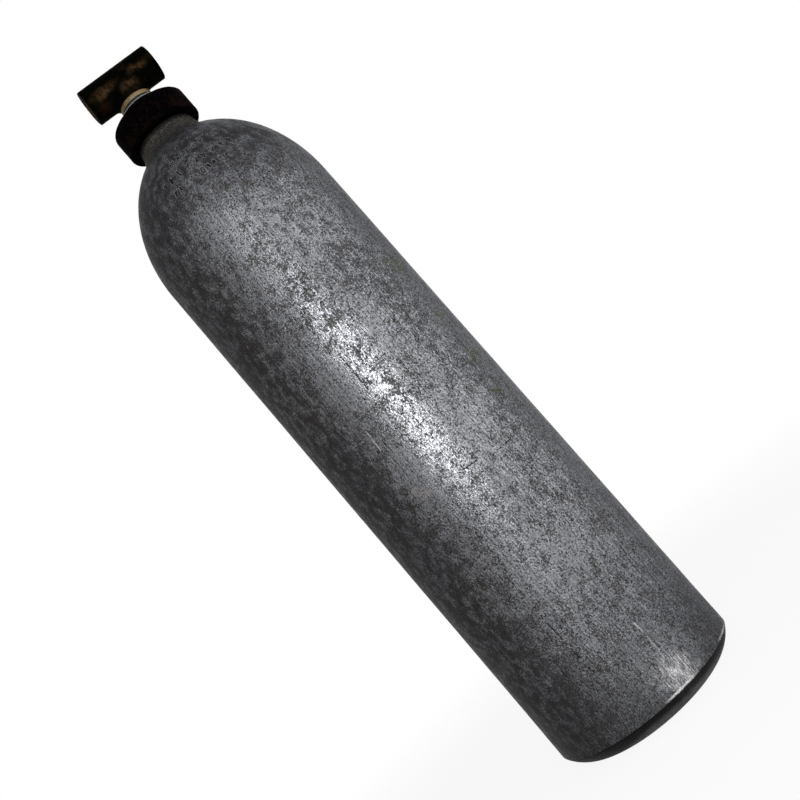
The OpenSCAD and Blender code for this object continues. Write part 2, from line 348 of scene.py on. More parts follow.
def highest(graph, masks):
    """The largest of several masks."""
    top = masks[0]
    for mask in masks[1:]:
        top = graph.math("MAXIMUM", top, mask)
    return top


def any_patch(graph, flat, patches):
    """1 inside any of several patches."""
    return highest(graph, [patch_mask(graph, flat, *patch) for patch in patches])


def any_line(graph, flat, lines):
    """1 along any of several lines."""
    return highest(graph, [line_mask(graph, flat, *line) for line in lines])


# ---------------------------------------------------------------- materials
# Tones of the shell. Metal mirrors the white room, so they are darker than aluminium's own.
METAL_DARK = grey(0.075, -0.03)
METAL_LIGHT = grey(0.140, -0.03)
METAL_RUBBED_SHEEN = grey(0.22, -0.02)
METAL_SPARK = grey(0.36, -0.03)
OXIDE_WARM = (0.036, 0.034, 0.031, 1)
OXIDE_COLD = (0.043, 0.043, 0.050, 1)
FILM = (0.050, 0.048, 0.032, 1)
DRAWN_SHADE = grey(0.020)
PEPPER = grey(0.008, -0.05)
SIDE_SHADE = (0.016, 0.014, 0.013, 1)
FOOT_DARKENING = grey(0.018)
CORROSION = (0.018, 0.022, 0.014, 1)
MOSS = (0.046, 0.050, 0.018, 1)
PALE_CRUST = (0.19, 0.175, 0.16, 1)
SCORED = grey(0.004)
SCRATCH_AND_GLINT = grey(0.36)
GLINTING = grey(0.62)
CROWN_DARKENING = (0.012, 0.012, 0.013, 1)
BURR = grey(0.17)
STROKE_DIRT_AND_SHADE = grey(0.006, -0.2)
NECK_PALE = (0.085, 0.080, 0.066, 1)
NECK_DARK = (0.014, 0.013, 0.010, 1)
RING_SHADE = grey(0.004)
NOSE_DARK = grey(0.006, 0.1)
NOSE_BARE_HIGHLIGHT = grey(0.42)
EDGE_BARE_GLINT = grey(0.60, 0.04)
UNDER_METAL = grey(0.062, 0.02)
UNDER_OXIDE = grey(0.028, 0.02)
UNDER_SHADE = grey(0.002, -0.05)
SHELL_TINT = (1.17, 1.16, 1.20, 1)   # multiplies every tone of the shell
# Heights in millimetres between which darkening comes or goes: towards the foot, over the crown, and the
# neck's dirt
FOOT_FADE = (25, 100)
CROWN_FADE = (560, 640)
NECK_FADE = (652, 672)


def shell_patterns(g):
    """The patterns that the shell's colour, gloss and relief share."""
    here = g.place()
    flat = unrolled(g)
    p = SimpleNamespace(here=here, flat=flat, height=g.height())
    lines = any_line(g, g.moved(flat, here, 0.45, 1.8), DARK_LINES)
    p.dark_lines = g.times(lines, g.step(g.noise(here, 0.35, 2), 0.40, 0.52))
    p.torn = g.moved(flat, here, 0.16, 22.0, 4.0)
    p.burnished = any_patch(g, p.torn, BURNISHED_SHEEN)
    # Painted shade: the side of the wall away from the lamps.
    p.grimy_side = side_mask(g, flat, SHADED_SIDE)
    p.regions = g.grain(0.6, 0.020, 3, 0.55)
    p.clusters = g.grain(0.70, 0.13, 3, 0.6)
    p.streaks = g.grain(0.12, 0.95, 2, 0.6)
    p.streaked = g.step(p.streaks, 0.38, 0.62)
    p.grain = g.grain(0.7, 1.0, 1, 0.5)
    p.grained = g.step(p.grain, 0.44, 0.62)
    gather = g.math("ADD", g.times(g.centred(p.regions), 0.32), g.times(g.centred(p.clusters), 0.62))
    # More specks on the side painted in shade.
    gather = g.add_times(p.grimy_side, 0.085, gather)
    gather = g.add_times(p.burnished, -0.060, gather)
    p.specks = g.math("ADD", g.grain(0.80, 0.62, 3, 0.72), gather)
    p.specked = g.step(p.specks, 0.45, 0.60)
    return p


def metal_and_oxide(g, p):
    """Drawn metal under dull specks, broken up by fine grain and streaks."""
    metal = g.mix(p.streaked, METAL_DARK, METAL_LIGHT)
    # Painted highlight: brighter metal in the rubbed patches along the lamps' reflection.
    metal = g.mix(g.times(p.burnished, 0.30), metal, METAL_RUBBED_SHEEN)
    dull = g.mix(g.step(p.regions, 0.35, 0.65), OXIDE_WARM, OXIDE_COLD)
    colour = g.mix(p.specked, metal, dull)
    film = g.step(g.math("ADD", p.clusters, g.times(g.centred(p.regions), 0.5)), 0.55, 0.70)
    colour = g.mix(g.times(film, 0.45), colour, FILM)
    colour = g.mix(g.times(p.grained, g.blend(p.specked, 0.42, 0.20)), colour, METAL_SPARK)
    colour = g.mix(g.step(g.grain(0.025, 0.75, 2, 0.6), 0.40, 0.60, 0.34, 0.0), colour, DRAWN_SHADE)
    pepper = g.step(g.grain(0.7, 0.85, 2, 0.6), 0.36, 0.48, 1.0, 0.0)
    return g.mix(g.times(pepper, 0.85), colour, PEPPER)


def with_patches(g, p, colour):
    """Painted shade on one side, darkening towards the foot, and patches of corrosion, moss and pale
    crust.
    """
    # Painted shade: the side away from the lamps is darker.
    side_shade = g.times(p.grimy_side, g.step(p.clusters, 0.38, 0.62, 0.45, 0.90))
    colour = g.mix(side_shade, colour, SIDE_SHADE)
    # Darker towards the foot, except in the rubbed patches.
    foot_darkening = g.times(g.step(p.height, *FOOT_FADE, 1.0, 0.0), g.rest_of(p.burnished))
    colour = g.mix(g.times(foot_darkening, 0.50), colour, FOOT_DARKENING)
    p.corroded = g.times(any_patch(g, p.torn, PATCHES), g.step(p.specks, 0.44, 0.54))
    colour = g.mix(p.corroded, colour, CORROSION)
    mossy = g.times(any_patch(g, p.torn, MOSSY), g.step(p.specks, 0.44, 0.60, 0.10, 0.80))
    colour = g.mix(mossy, colour, MOSS)
    pale = g.times(patch_mask(g, p.torn, *PALE_PATCH), g.step(p.specks, 0.50, 0.56, 0.45, 0.0))
    return g.mix(pale, colour, PALE_CRUST)


def with_lines(g, p, colour):
    """Scored lines, bright lines that are scratches and painted glints, and the glint above the foot."""
    colour = g.mix(p.dark_lines, colour, SCORED)
    colour = g.mix(g.times(any_line(g, p.flat, BRIGHT_LINES), p.streaked), colour, SCRATCH_AND_GLINT)
    glint = g.times(patch_mask(g, p.torn, *GLINT), g.step(p.streaks, 0.42, 0.60, 0.15, 1.0))
    return g.mix(g.times(glint, g.blend(p.grained, 0.30, 0.80)), colour, GLINTING)


def with_stamps(g, p, colour):
    """Darker over the crown, and strokes that are dark inside with dirt and painted shade, and rubbed at
    their edges.
    """
    # Darker over the crown.
    crown = g.step(g.add_times(p.regions, 30.0, p.height), *CROWN_FADE)
    crown = g.times(crown, g.step(p.clusters, 0.38, 0.62, 0.38, 0.94))
    colour = g.mix(crown, colour, CROWN_DARKENING)
    stamped = g.node("ShaderNodeAttribute", attribute_name="stamped").outputs["Fac"]
    burr = g.times(g.step(stamped, 0.01, 0.10), g.step(stamped, 0.18, 0.40, 1.0, 0.0))
    colour = g.mix(g.times(burr, g.step(p.grain, 0.42, 0.60, 0.45, 1.0)), colour, BURR)
    # Dirt and painted shade inside the stamped strokes.
    stroke_dirt_shade = g.times(g.step(stamped, 0.30, 0.50), g.step(p.clusters, 0.36, 0.55, 0.50, 0.95))
    return g.mix(stroke_dirt_shade, colour, STROKE_DIRT_AND_SHADE)


def with_foot(g, p, colour, edge):
    """The foot's worn edge, with a painted glint in front, at the height edge, and the shaded underside
    below it.
    """
    rim = g.times(g.step(p.height, edge + 0.2, edge + 0.7),
                  g.step(p.height, edge + 1.4, edge + 2.6, 1.0, 0.0))
    worn_glint = g.math("MAXIMUM", side_mask(g, p.flat, WORN_GLINT_RIM), g.step(p.regions, 0.56, 0.66, 0.0, 0.6))
    worn_glint = g.times(worn_glint, g.step(p.grain, 0.40, 0.55, 0.55, 1.0))
    # Painted glint: the bare rim in front is painted bright.
    colour = g.mix(g.times(rim, worn_glint), colour, EDGE_BARE_GLINT)
    p.underside = g.step(p.height, edge - 0.6, edge + 0.2, 1.0, 0.0)
    # The painted shade under the edge reaches further down on the shaded side.
    near_edge = g.step(g.add_times(p.grimy_side, 9.0, p.height), edge - 10, edge - 4)
    under = g.mix(near_edge, g.mix(p.specked, UNDER_METAL, UNDER_OXIDE), UNDER_SHADE)
    return g.mix(g.times(p.underside, 0.95), colour, under)


def with_neck(g, p, colour):
    """Dirt on the neck, painted shade below the ring, and the dark nose with its bare rim painted bright
    as a highlight.
    """
    ring_foot, ring_top = ring_low.z / MM, ring_high.z / MM
    dirt = g.step(g.add_times(p.regions, 12.0, p.height), *NECK_FADE)
    mottled = g.mix(g.step(g.noise(p.here, 0.9, 2, 0.7), 0.40, 0.60), NECK_PALE, NECK_DARK)
    colour = g.mix(g.times(dirt, 0.75), colour, mottled)
    # Painted shade below the ring.
    shade = g.step(p.height, ring_foot - 5.0, ring_foot - 1.0)
    colour = g.mix(g.times(shade, 0.85), colour, RING_SHADE)
    p.nose = g.step(p.height, ring_top - 0.2, ring_top + 0.2)
    # Painted highlight: the nose's bare rim is painted bright.
    bare_rim_highlight = g.times(g.step(p.height, nose_rim_z - 0.3, nose_rim_z - 0.1),
                       g.step(p.height, nose_rim_z + 0.4, nose_rim_z + 0.6, 1.0, 0.0))
    return g.mix(p.nose, colour, g.mix(bare_rim_highlight, NOSE_DARK, NOSE_BARE_HIGHLIGHT))


def weathered_aluminium(edge):
    """Drawn aluminium, dulled in dark specks, with fine lines along the cylinder."""
    g = Graph("weathered_aluminium")
    p = shell_patterns(g)
    colour = metal_and_oxide(g, p)
    for layer in (with_patches, with_lines, with_stamps):
        colour = layer(g, p, colour)
    colour = with_neck(g, p, with_foot(g, p, colour, edge))
    colour = g.mix(1.0, colour, SHELL_TINT, "MULTIPLY")

    clean = g.rest_of(g.times(p.specked, 0.80))
    for cover in (p.corroded, p.underside, p.nose):
        clean = g.times(clean, g.rest_of(cover))
    roughness = g.add_times(p.grained, -0.08, g.blend(clean, 0.62, 0.34))

    relief = g.add_times(p.specked, -0.7, g.times(p.streaks, 0.9))
    relief = g.add_times(p.grain, 0.9, relief)
    relief = g.add_times(p.dark_lines, -2.0, relief)
    return g.surface(base_color=colour, metallic=g.times(clean, 0.65), roughness=roughness,
                     normal=g.bump(relief, 0.14 * MM),
                     specular_ior_level=0.05, specular_tint=(0.42, 0.43, 0.45, 1))


# Tones of the neck ring
SCALE = (0.0005, 0.0003, 0.0005, 1)
RUST = (0.0050, 0.0023, 0.0019, 1)
OCHRE = (0.016, 0.0075, 0.0045, 1)
RING_FOOT_SHADE = (0.0004, 0.0003, 0.0005, 1)


def rusty_steel():
    """Old brown rust over nearly black scale, with painted shade along the ring's foot."""
    g = Graph("rusty_steel")
    here = g.place()
    blotches = g.noise(here, 0.45, 5, 0.65)
    crust = g.noise(here, 2.0, 3, 0.65)
    rusted = g.step(g.math("ADD", blotches, g.centred(g.noise(here, 0.09, 4, 0.6))), 0.44, 0.64)
    colour = g.mix(rusted, SCALE, RUST)
    ochre = g.step(g.noise(here, 0.8, 3, 0.6), 0.62, 0.72)
    colour = g.mix(g.times(ochre, rusted), colour, OCHRE)
    # Painted shade: the ring's foot is darkened where it sits on the shell.
    foot_shade = g.step(g.height(), ring_low.z / MM + 0.8, ring_low.z / MM + 3.0, 1.0, 0.0)
    colour = g.mix(g.times(foot_shade, 0.9), colour, RING_FOOT_SHADE)
    normal = g.bump(g.math("ADD", crust, g.times(blotches, 1.5)), 0.22 * MM)
    return g.surface(base_color=colour, metallic=0.0, roughness=g.add_times(crust, 0.2, 0.68),
                     normal=normal, specular_ior_level=0.006)


# Tones of the valve's body
PATINA = (0.0008, 0.0008, 0.0005, 1)
BRONZE = (0.026, 0.0145, 0.0072, 1)
GREENISH = (0.003, 0.004, 0.002, 1)
BORE_DARK = (0.018, 0.012, 0.006, 1)
BORE_LIGHT = (0.065, 0.043, 0.021, 1)
BRONZE_LIFT = (1.22, 1.22, 1.22, 1)   # multiplies every tone of the valve's body
# Places on the valve rubbed to brown, laid mostly where the lamps' highlights fall, so that they also
# stand as painted highlights: centre and reach along x, y and z, in millimetres
RUBBED_HIGHLIGHTS = (
    ((-18, -14, barrel_z / MM - 3), (24, 16, 7)),
    ((4, -16, barrel_z / MM - 12), (14, 12, 9)),
    ((20, -16, barrel_z / MM - 2), (16, 12, 6)),
    ((10, 15, barrel_z / MM + 4), (22, 10, 8)),
)


def rubbed_highlight_places(g, here, mottle):
    """1 where the valve is rubbed to brown, which also paints its highlights."""
    moved = g.moved(here, here, 0.12, 9.0, 2.0)
    spots = []
    for centre, reach in RUBBED_HIGHLIGHTS:
        offset = g.vector("DIVIDE", g.vector("SUBTRACT", moved, centre), reach)
        spots.append(g.step(g.vector("LENGTH", offset), 0.05, 1.0, 1.0, 0.0))
    broad = g.step(g.noise(here, 0.06, 2, 0.5), 0.50, 0.80, 0.0, 0.35)
    rubbed_lit = g.math("MAXIMUM", highest(g, spots), broad)
    return g.times(rubbed_lit, g.step(mottle, 0.30, 0.65, 0.30, 1.0))


def patinated_bronze(bore_radius):
    """A cast body gone nearly black, rubbed to brown in patches that also stand as painted highlights,
    and browner in its bore.
    """
    g = Graph("patinated_bronze")
    here = g.place()
    mottle = g.noise(here, 0.28, 3, 0.55)
    fine = g.noise(here, 2.2, 3, 0.6)
    rubbed_lit = rubbed_highlight_places(g, here, mottle)
    # Painted highlight: the rubbed brown patches lie where the lamps reflect.
    colour = g.mix(rubbed_lit, PATINA, BRONZE)
    green = g.step(g.noise(here, 0.22, 3, 0.6), 0.58, 0.70)
    colour = g.mix(g.times(green, 0.6), colour, GREENISH)
    from_axis = g.vector("MULTIPLY", g.vector("SUBTRACT", here, (0, 0, barrel_z / MM)), (0, 1, 1))
    inside = g.step(g.vector("LENGTH", from_axis), bore_radius - 0.1, bore_radius + 0.3, 1.0, 0.0)
    colour = g.mix(inside, colour, g.mix(mottle, BORE_DARK, BORE_LIGHT))
    colour = g.mix(1.0, colour, BRONZE_LIFT, "MULTIPLY")
    metallic = g.times(g.math("MAXIMUM", rubbed_lit, inside), 0.6)
    normal = g.bump(g.math("ADD", g.times(mottle, 1.4), g.times(fine, 0.5)), 0.10 * MM)
    return g.surface(base_color=colour, metallic=metallic, roughness=g.add_times(fine, 0.16, 0.40),
                     normal=normal, specular_ior_level=0.002, specular_tint=(0.30, 0.26, 0.20, 1))


# Tones of the seal ring
BRASS_DARK = (0.145, 0.098, 0.042, 1)
BRASS_LIGHT = (0.235, 0.165, 0.085, 1)
TARNISH = (0.075, 0.044, 0.014, 1)
VERDIGRIS = (0.045, 0.058, 0.022, 1)
BRASS_BROWN = (0.12, 0.068, 0.032, 1)


def bare_brass():
    """A rubbed brass ring, greenish in its lower corner and brown above."""
    g = Graph("bare_brass")
    here = g.place()
    low, high = seal_low.z / MM, seal_high.z / MM
    stain = g.add_times(g.centred(g.noise(here, 0.5, 3)), 1.2, g.height())
    turned = g.noise(g.place((0.2, 0.2, 6)), 1.0, 2, 0.5)
    colour = g.mix(turned, BRASS_DARK, BRASS_LIGHT)
    tarnished = g.step(g.noise(here, 0.14, 3, 0.6), 0.44, 0.62)
    colour = g.mix(g.times(tarnished, 0.65), colour, TARNISH)
    lower = g.step(stain, low + 0.4, low + 1.4, 1.0, 0.0)
    colour = g.mix(g.times(lower, 0.85), colour, VERDIGRIS)
    upper = g.step(stain, high - 0.9, high - 0.1)
    colour = g.mix(g.times(upper, 0.7), colour, BRASS_BROWN)
    roughness = g.add_times(g.noise(here, 1.6, 3), 0.25, 0.38)
    return g.surface(base_color=colour, metallic=0.45, roughness=roughness,
                     normal=g.bump(turned, 0.03 * MM))


# Plain finishes: low and high tone, metallic, roughness, scale of the mottling, relief in millimetres
WORN_FINISHES = {
    "valve_brass": ((0.16, 0.11, 0.05, 1), (0.34, 0.24, 0.11, 1), 0.8, 0.45, 0.6, 0.05),
    "steel": ((0.07, 0.055, 0.045, 1), (0.22, 0.20, 0.18, 1), 0.85, 0.48, 0.7, 0.05),
    "black_rubber": (grey(0.010), grey(0.022), 0.0, 0.7, 0.6, 0.05),
    "white_plastic": ((0.60, 0.57, 0.48, 1), (0.74, 0.72, 0.65, 1), 0.0, 0.5, 0.6, 0.03),
    "copper": ((0.30, 0.13, 0.07, 1), (0.46, 0.23, 0.14, 1), 0.9, 0.45, 0.7, 0.04),
}


def worn_surface(name, low, high, metallic, roughness, scale, depth):
    """A worn finish in two tones, mottled at the given scale, with relief of the given depth."""
    g = Graph(name)
    here = g.place()
    patch = g.noise(here, scale, 5, 0.6)
    fine = g.noise(here, scale * 5, 3, 0.6)
    colour = g.mix(g.step(patch, 0.38, 0.62), low, high)
    rough = g.add_times(fine, 0.25, roughness - 0.12)
    normal = g.bump(g.add_times(fine, 0.4, patch), depth * MM)
    return g.surface(base_color=colour, metallic=metallic, roughness=rough, normal=normal)


# ---------------------------------------------------------------- mesh helpers
WELD = 0.002 * MM            # points this near each other are one point
FLAT = math.radians(0.3)     # faces that turn by less than this are one face
SHARP = 35                   # degrees from which an edge is shaded sharp
CAST_SHARP = 60              # the same on uneven cast and rusted pieces


def new_piece(name, mesh, slot_name, body, nodes=(), sharp=SHARP):
    """Links a finished mesh as a piece that stands for CAD nodes and rides on their body."""
    piece = bpy.data.objects.new(name, mesh)
    bpy.context.scene.collection.objects.link(piece)
    mesh.materials.clear()
    mesh.materials.append(finishes[slot_name])
    mesh.shade_smooth()
    mesh.set_sharp_from_angle(angle=math.radians(sharp))
    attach(piece, body)
    if nodes:
        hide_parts(*nodes)
    return piece


def welded_copy(node):
    """A copy of a CAD node's mesh with its faces joined, and flat areas as single faces."""
    source = frame["nodes"][node].data
    work = bmesh.new()
    work.from_mesh(source)
    bmesh.ops.remove_doubles(work, verts=work.verts, dist=WELD)
    bmesh.ops.dissolve_limit(work, angle_limit=FLAT, verts=work.verts, edges=work.edges)
    mesh = bpy.data.meshes.new(node + "_copy")
    work.to_mesh(mesh)
    work.free()
    return mesh


def with_modifier(mesh, kind, **settings):
    """The mesh that a modifier makes of this one."""
    carrier = bpy.data.objects.new("carrier", mesh)
    bpy.context.scene.collection.objects.link(carrier)
    modifier = carrier.modifiers.new("shape", kind)
    for key, value in settings.items():
        setattr(modifier, key, value)
    bpy.context.view_layer.update()
    result = bpy.data.meshes.new_from_object(
        carrier.evaluated_get(bpy.context.evaluated_depsgraph_get()))
    bpy.data.objects.remove(carrier)
    return result


def point_array(mesh, what):
    """The places ("co") or normals ("normal") of a mesh's points as an array."""
    values = np.empty(len(mesh.vertices) * 3)
    mesh.vertices.foreach_get(what, values)
    return values.reshape(-1, 3)


def set_places(mesh, places):
    mesh.vertices.foreach_set("co", places.ravel())
    mesh.update()


def smoothstep(value):
    value = np.clip(value, 0, 1)
    return value * value * (3 - 2 * value)


# ---------------------------------------------------------------- shell
DENSE_STEP = 0.44 * MM       # between points where the shell is stamped
WALL_STEP = 12 * MM          # between rows of points on the wall
COARSE_ANGLE = 4             # degrees between points around the rest of the shell
LONG_RUN = 20 * MM           # a section's longer parts are straight
CORNER = math.radians(20)    # a section's sharper turns are corners
STAMP_AZIMUTHS = (-26, 37)   # the stamped area, in degrees
STAMP_HEIGHTS = (586 * MM, 643 * MM)
STAMP_RADIUS = 74 * MM       # about the shell's radius there
STAMP_DEPTH = 0.42 * MM
STROKE_HALF_WIDTH = 0.9 * MM
HOOP_SHARE = 0.12            # of the marks, the share that is a single oval
MARK_HALF_WIDTH = 0.30       # of the marks' spacing
MARK_HALF_HEIGHT = 0.46      # of the row's height
MARK_SEED = 11
DENT_DEPTH = 0.30 * MM
DENT_LENGTH = 60 * MM        # of one cell along the shell
DENTS_AROUND = 2.2           # the shell's radius in cells of the dents' noise
DENT_HEIGHTS = (20 * MM, 650 * MM)
DENT_FADE = 30 * MM
SKIN_INSET = 0.10 * MM       # keeps the skin inside the CAD shell
INSET_RADIUS = 50 * MM       # the neck and the base's middle, inside this radius, have no inset
BASE_HEIGHT = 1 * MM         # the base's flat, below this, has none either
# Rows of worn marks: first and last azimuth, height at each, and the marks' height and spacing,
# in degrees and millimetres
STAMP_ROWS = (
    (-14, 34, 634.5, 635.0, 5.5, 7.0),
    (-19, 33, 622.5, 623.5, 9.0, 8.2),
    (-24, 32, 610.0, 607.0, 9.4, 8.4),
    (-19, 22, 596.5, 594.5, 6.0, 6.4),
)


def section_of(node):
    """The (radius, height) points of a turned CAD node's section, in order from its lowest edge."""
    mesh = frame["nodes"][node].data
    grain = 0.01 * MM
    keys = [(round(math.hypot(v.co.x, v.co.y) / grain), round(v.co.z / grain)) for v in mesh.vertices]
    links = {}
    for edge in mesh.edges:
        a, b = keys[edge.vertices[0]], keys[edge.vertices[1]]
        if a != b:
            links.setdefault(a, set()).add(b)
            links.setdefault(b, set()).add(a)
    ends = [key for key in links if len(links[key]) == 1]
    path = [min(ends, key=lambda key: key[1])]
    while True:
        onward = [key for key in links[path[-1]] if len(path) < 2 or key != path[-2]]
        if not onward:
            return [Vector((radius * grain, height * grain)) for radius, height in path]
        path.append(onward[0])


def direction_at(points, i, run):
    """The section's direction at a point, seen from the run that starts at index run."""
    own = points[run + 1] - points[run]
    other_start = i - 1 if run == i else i
    if other_start < 0 or other_start + 1 >= len(points):
        return own.normalized()
    other = points[other_start + 1] - points[other_start]
    if own.angle(other) > CORNER or own.length > LONG_RUN:
        return own.normalized()
    if other.length > LONG_RUN:
        return other.normalized()
    return (own.normalized() + other.normalized()).normalized()


def between(points, run, t):
    """The point at the share t of one run of the section, on a smooth curve."""
    a, b = points[run], points[run + 1]
    length = (b - a).length
    leave = direction_at(points, run, run) * length
    arrive = direction_at(points, run + 1, run) * length
    return (a * (2 * t**3 - 3 * t**2 + 1) + leave * (t**3 - 2 * t**2 + t)
            + b * (3 * t**2 - 2 * t**3) + arrive * (t**3 - t**2))


def shell_rows():
    """The shell's section with close rows where it is stamped, and the index of its crown."""
    points = section_of("cylinder_shell")
    crown = max(range(len(points)), key=lambda i: points[i].y)
    rows = [points[0]]
    crown_row = 0
    for run in range(len(points) - 1):
        a, b = points[run], points[run + 1]
        stamped = run < crown and b.y > STAMP_HEIGHTS[0] and a.y < STAMP_HEIGHTS[1]
        count = max(1, math.ceil((b - a).length / (DENSE_STEP if stamped else WALL_STEP)))
        rows += [between(points, run, (i + 1) / count) for i in range(count)]
        if run + 1 == crown:
            crown_row = len(rows) - 1
    return rows, crown_row


def shell_angles():
    """Angles around the shell, close together where it is stamped."""
    first, last = STAMP_AZIMUTHS
    close = math.degrees(DENSE_STEP / STAMP_RADIUS)
    inside = np.linspace(first, last, round((last - first) / close) + 1)
    outside = np.linspace(last, first + 360, round((360 - last + first) / COARSE_ANGLE) + 1)
    return np.radians(np.concatenate([inside, outside[1:-1]]))


def stroke_depth(u, v, start, end):
    """How deep a straight stroke is at points u along the row and v up it."""
    along = np.array(end) - start
    share = np.clip(((u - start[0]) * along[0] + (v - start[1]) * along[1]) / along.dot(along), 0, 1)
    distance = np.hypot(u - start[0] - share * along[0], v - start[1] - share * along[1])
    return smoothstep(1 - distance / STROKE_HALF_WIDTH)


def hoop_depth(u, v, centre, half_width, half_height):
    """How deep an oval stroke is."""
    ratio = np.hypot((u - centre[0]) / half_width, (v - centre[1]) / half_height)
    return smoothstep(1 - np.abs(ratio - 1) * half_width / STROKE_HALF_WIDTH)


def mark_depth(u, v, centre, half_width, half_height, chance):
    """A worn, unreadable mark in its own cell: two to four strokes, or one oval."""
    if chance.random() < HOOP_SHARE:
        wide, tall = half_width * chance.uniform(0.7, 1), half_height * chance.uniform(0.5, 1)
        return hoop_depth(u, v, centre, wide, tall) * chance.uniform(0.5, 1)
    depth = np.zeros_like(u)
    for _ in range(chance.randint(2, 4)):
        ends = []
        for side in (-1, 1):
            across = centre[0] + half_width * chance.uniform(-1, 1)
            up = centre[1] + half_height * side * chance.uniform(0.25, 1)
            ends.append((across, up))
        depth = np.maximum(depth, stroke_depth(u, v, *ends) * chance.uniform(0.55, 1))
    return depth


def stamped_depth(rows, angles, lengths):
    """The depth of the worn marks at every row and angle of the shell, from 0 to 1."""
    chance = random.Random(MARK_SEED)
    depth = np.zeros((len(rows), len(angles)))
    heights = np.array([row.y for row in rows])
    radii = np.array([row.x for row in rows])
    crown = int(np.argmax(heights))
    azimuths = np.where(angles > math.pi, angles - FULL_TURN, angles)
    for first, last, start_z, end_z, tall, pitch in STAMP_ROWS:
        middle_z = (start_z + end_z) / 2 * MM
        radius = np.interp(middle_z, heights[:crown], radii[:crown])
        arc_length = math.radians(last - first) * radius
        count = round(arc_length / (pitch * MM))
        use = np.flatnonzero((heights > STAMP_HEIGHTS[0]) & (heights < STAMP_HEIGHTS[1])
                             & (np.arange(len(rows)) < crown))
        u, v = np.meshgrid(azimuths * radius, lengths[use], indexing="xy")
        for i in range(count):
            share = (i + 0.5) / count
            z = (start_z + (end_z - start_z) * share) * MM
            centre = (math.radians(first) * radius + share * arc_length,
                      np.interp(z, heights[:crown], lengths[:crown]))
            mark = mark_depth(u, v, centre, MARK_HALF_WIDTH * pitch * MM,
                              MARK_HALF_HEIGHT * tall * MM, chance)
            depth[use] = np.maximum(depth[use], mark)
    return depth


def dent_depth(rows, angles, crown_row):
    """The outer wall's inset and slight unevenness, always inwards."""
    depth = np.zeros((len(rows), len(angles)))
    low, high = DENT_HEIGHTS
    for i, row in enumerate(rows[:crown_row]):
        if row.x < INSET_RADIUS or row.y < BASE_HEIGHT:
            continue
        fade = max(0, min(1, (row.y - low) / DENT_FADE, (high - row.y) / DENT_FADE))
        for k, angle in enumerate(angles):
            place = Vector((math.cos(angle) * DENTS_AROUND, math.sin(angle) * DENTS_AROUND,
                            row.y / DENT_LENGTH))
            depth[i, k] = SKIN_INSET + fade * (0.5 + 0.5 * noise.noise(place)) * DENT_DEPTH
    return depth


def foot_edge():
    """The height at which the shell's wall reaches its full radius."""
    return min(point.y for point in section_of("cylinder_shell") if point.x > shell_r - 0.1 * MM)


def shell_mesh():
    """The shell, turned from its section, with dents and stamped marks."""
    rows, crown_row = shell_rows()
    angles = shell_angles()
    steps = [(rows[i + 1] - rows[i]).length for i in range(len(rows) - 1)]
    lengths = np.concatenate([[0], np.cumsum(steps)])
    stamps = stamped_depth(rows, angles, lengths)
    depth = stamps * STAMP_DEPTH + dent_depth(rows, angles, crown_row)
    turn = math.radians(-90) + VIEW_TURN
    places, faces = [], []
    for i, row in enumerate(rows):
        ahead = rows[min(i + 1, len(rows) - 1)] - rows[max(i - 1, 0)]
        outward = Vector((ahead.y, -ahead.x)).normalized()
        for k, angle in enumerate(angles):
            radius = row.x - outward.x * depth[i, k]
            places.append((radius * math.cos(angle + turn), radius * math.sin(angle + turn),
                           row.y - outward.y * depth[i, k]))
    count = len(angles)
    for i in range(len(rows) - 1):
        for k in range(count):
            n = (k + 1) % count
            faces.append((i * count + k, i * count + n, (i + 1) * count + n, (i + 1) * count + k))
    last = (len(rows) - 1) * count
    faces.append(tuple(reversed(range(count))))
    faces.append(tuple(last + k for k in range(count)))
    mesh = bpy.data.meshes.new("shell_skin")
    mesh.from_pydata(places, [], faces)
    marks = mesh.attributes.new("stamped", "FLOAT", "POINT")
    marks.data.foreach_set("value", stamps.ravel())
    mesh.validate()
    return mesh


# ---------------------------------------------------------------- neck ring
RING_VOXEL = 0.6 * MM
PIT_DEPTH = 0.45 * MM
PIT_SIZES = (7 * MM, 3.2 * MM, 1.5 * MM)     # of broad wear, pits and fine pitting


def pitting(place):
    """How deep rust has eaten in at a point, from 0 to 1."""
    broad_size, pit_size, fine_size = PIT_SIZES
    broad = 0.5 + 0.5 * noise.noise(place / broad_size)
    pits = 1 - min(1, noise.voronoi(place / pit_size)[0][0] * 2.2)
    fine = 0.5 + 0.5 * noise.noise(place / fine_size)
    return 0.45 * broad + 0.35 * pits + 0.2 * fine


def ring_mesh():
    """The neck ring, eaten by rust."""
    mesh = with_modifier(welded_copy("neck_ring"), "REMESH", mode="VOXEL", voxel_size=RING_VOXEL)
    places = point_array(mesh, "co")
    depth = np.array([pitting(Vector(p)) for p in places]) * PIT_DEPTH
    set_places(mesh, places - point_array(mesh, "normal") * depth[:, None])
    return mesh


# ---------------------------------------------------------------- valve body
VALVE_VOXEL = 0.6 * MM
BARREL_ROUND = 1.4 * MM      # rounding of the barrel's ends
SADDLE = 6 * MM              # reach of the blend where the barrel meets the leg
CAST_DEPTH = 0.12 * MM
CAST_SIZES = (4 * MM, 1.4 * MM)              # of the casting's broad and fine unevenness
SKIN_REACH = 2.2 * MM        # points this near the outside are moved onto it
LEG_MARGIN = 0.6 * MM        # the leg's lowest stretch is left as it is
SETTLING_PASSES = 4
MOUTH_REACH = 2.5 * MM       # how far into a hole its mouth is drawn again
SNAP = 0.45 * MM             # points this near a hole's wall or end lie on it
leg_r = seal_high.x - 0.3 * MM


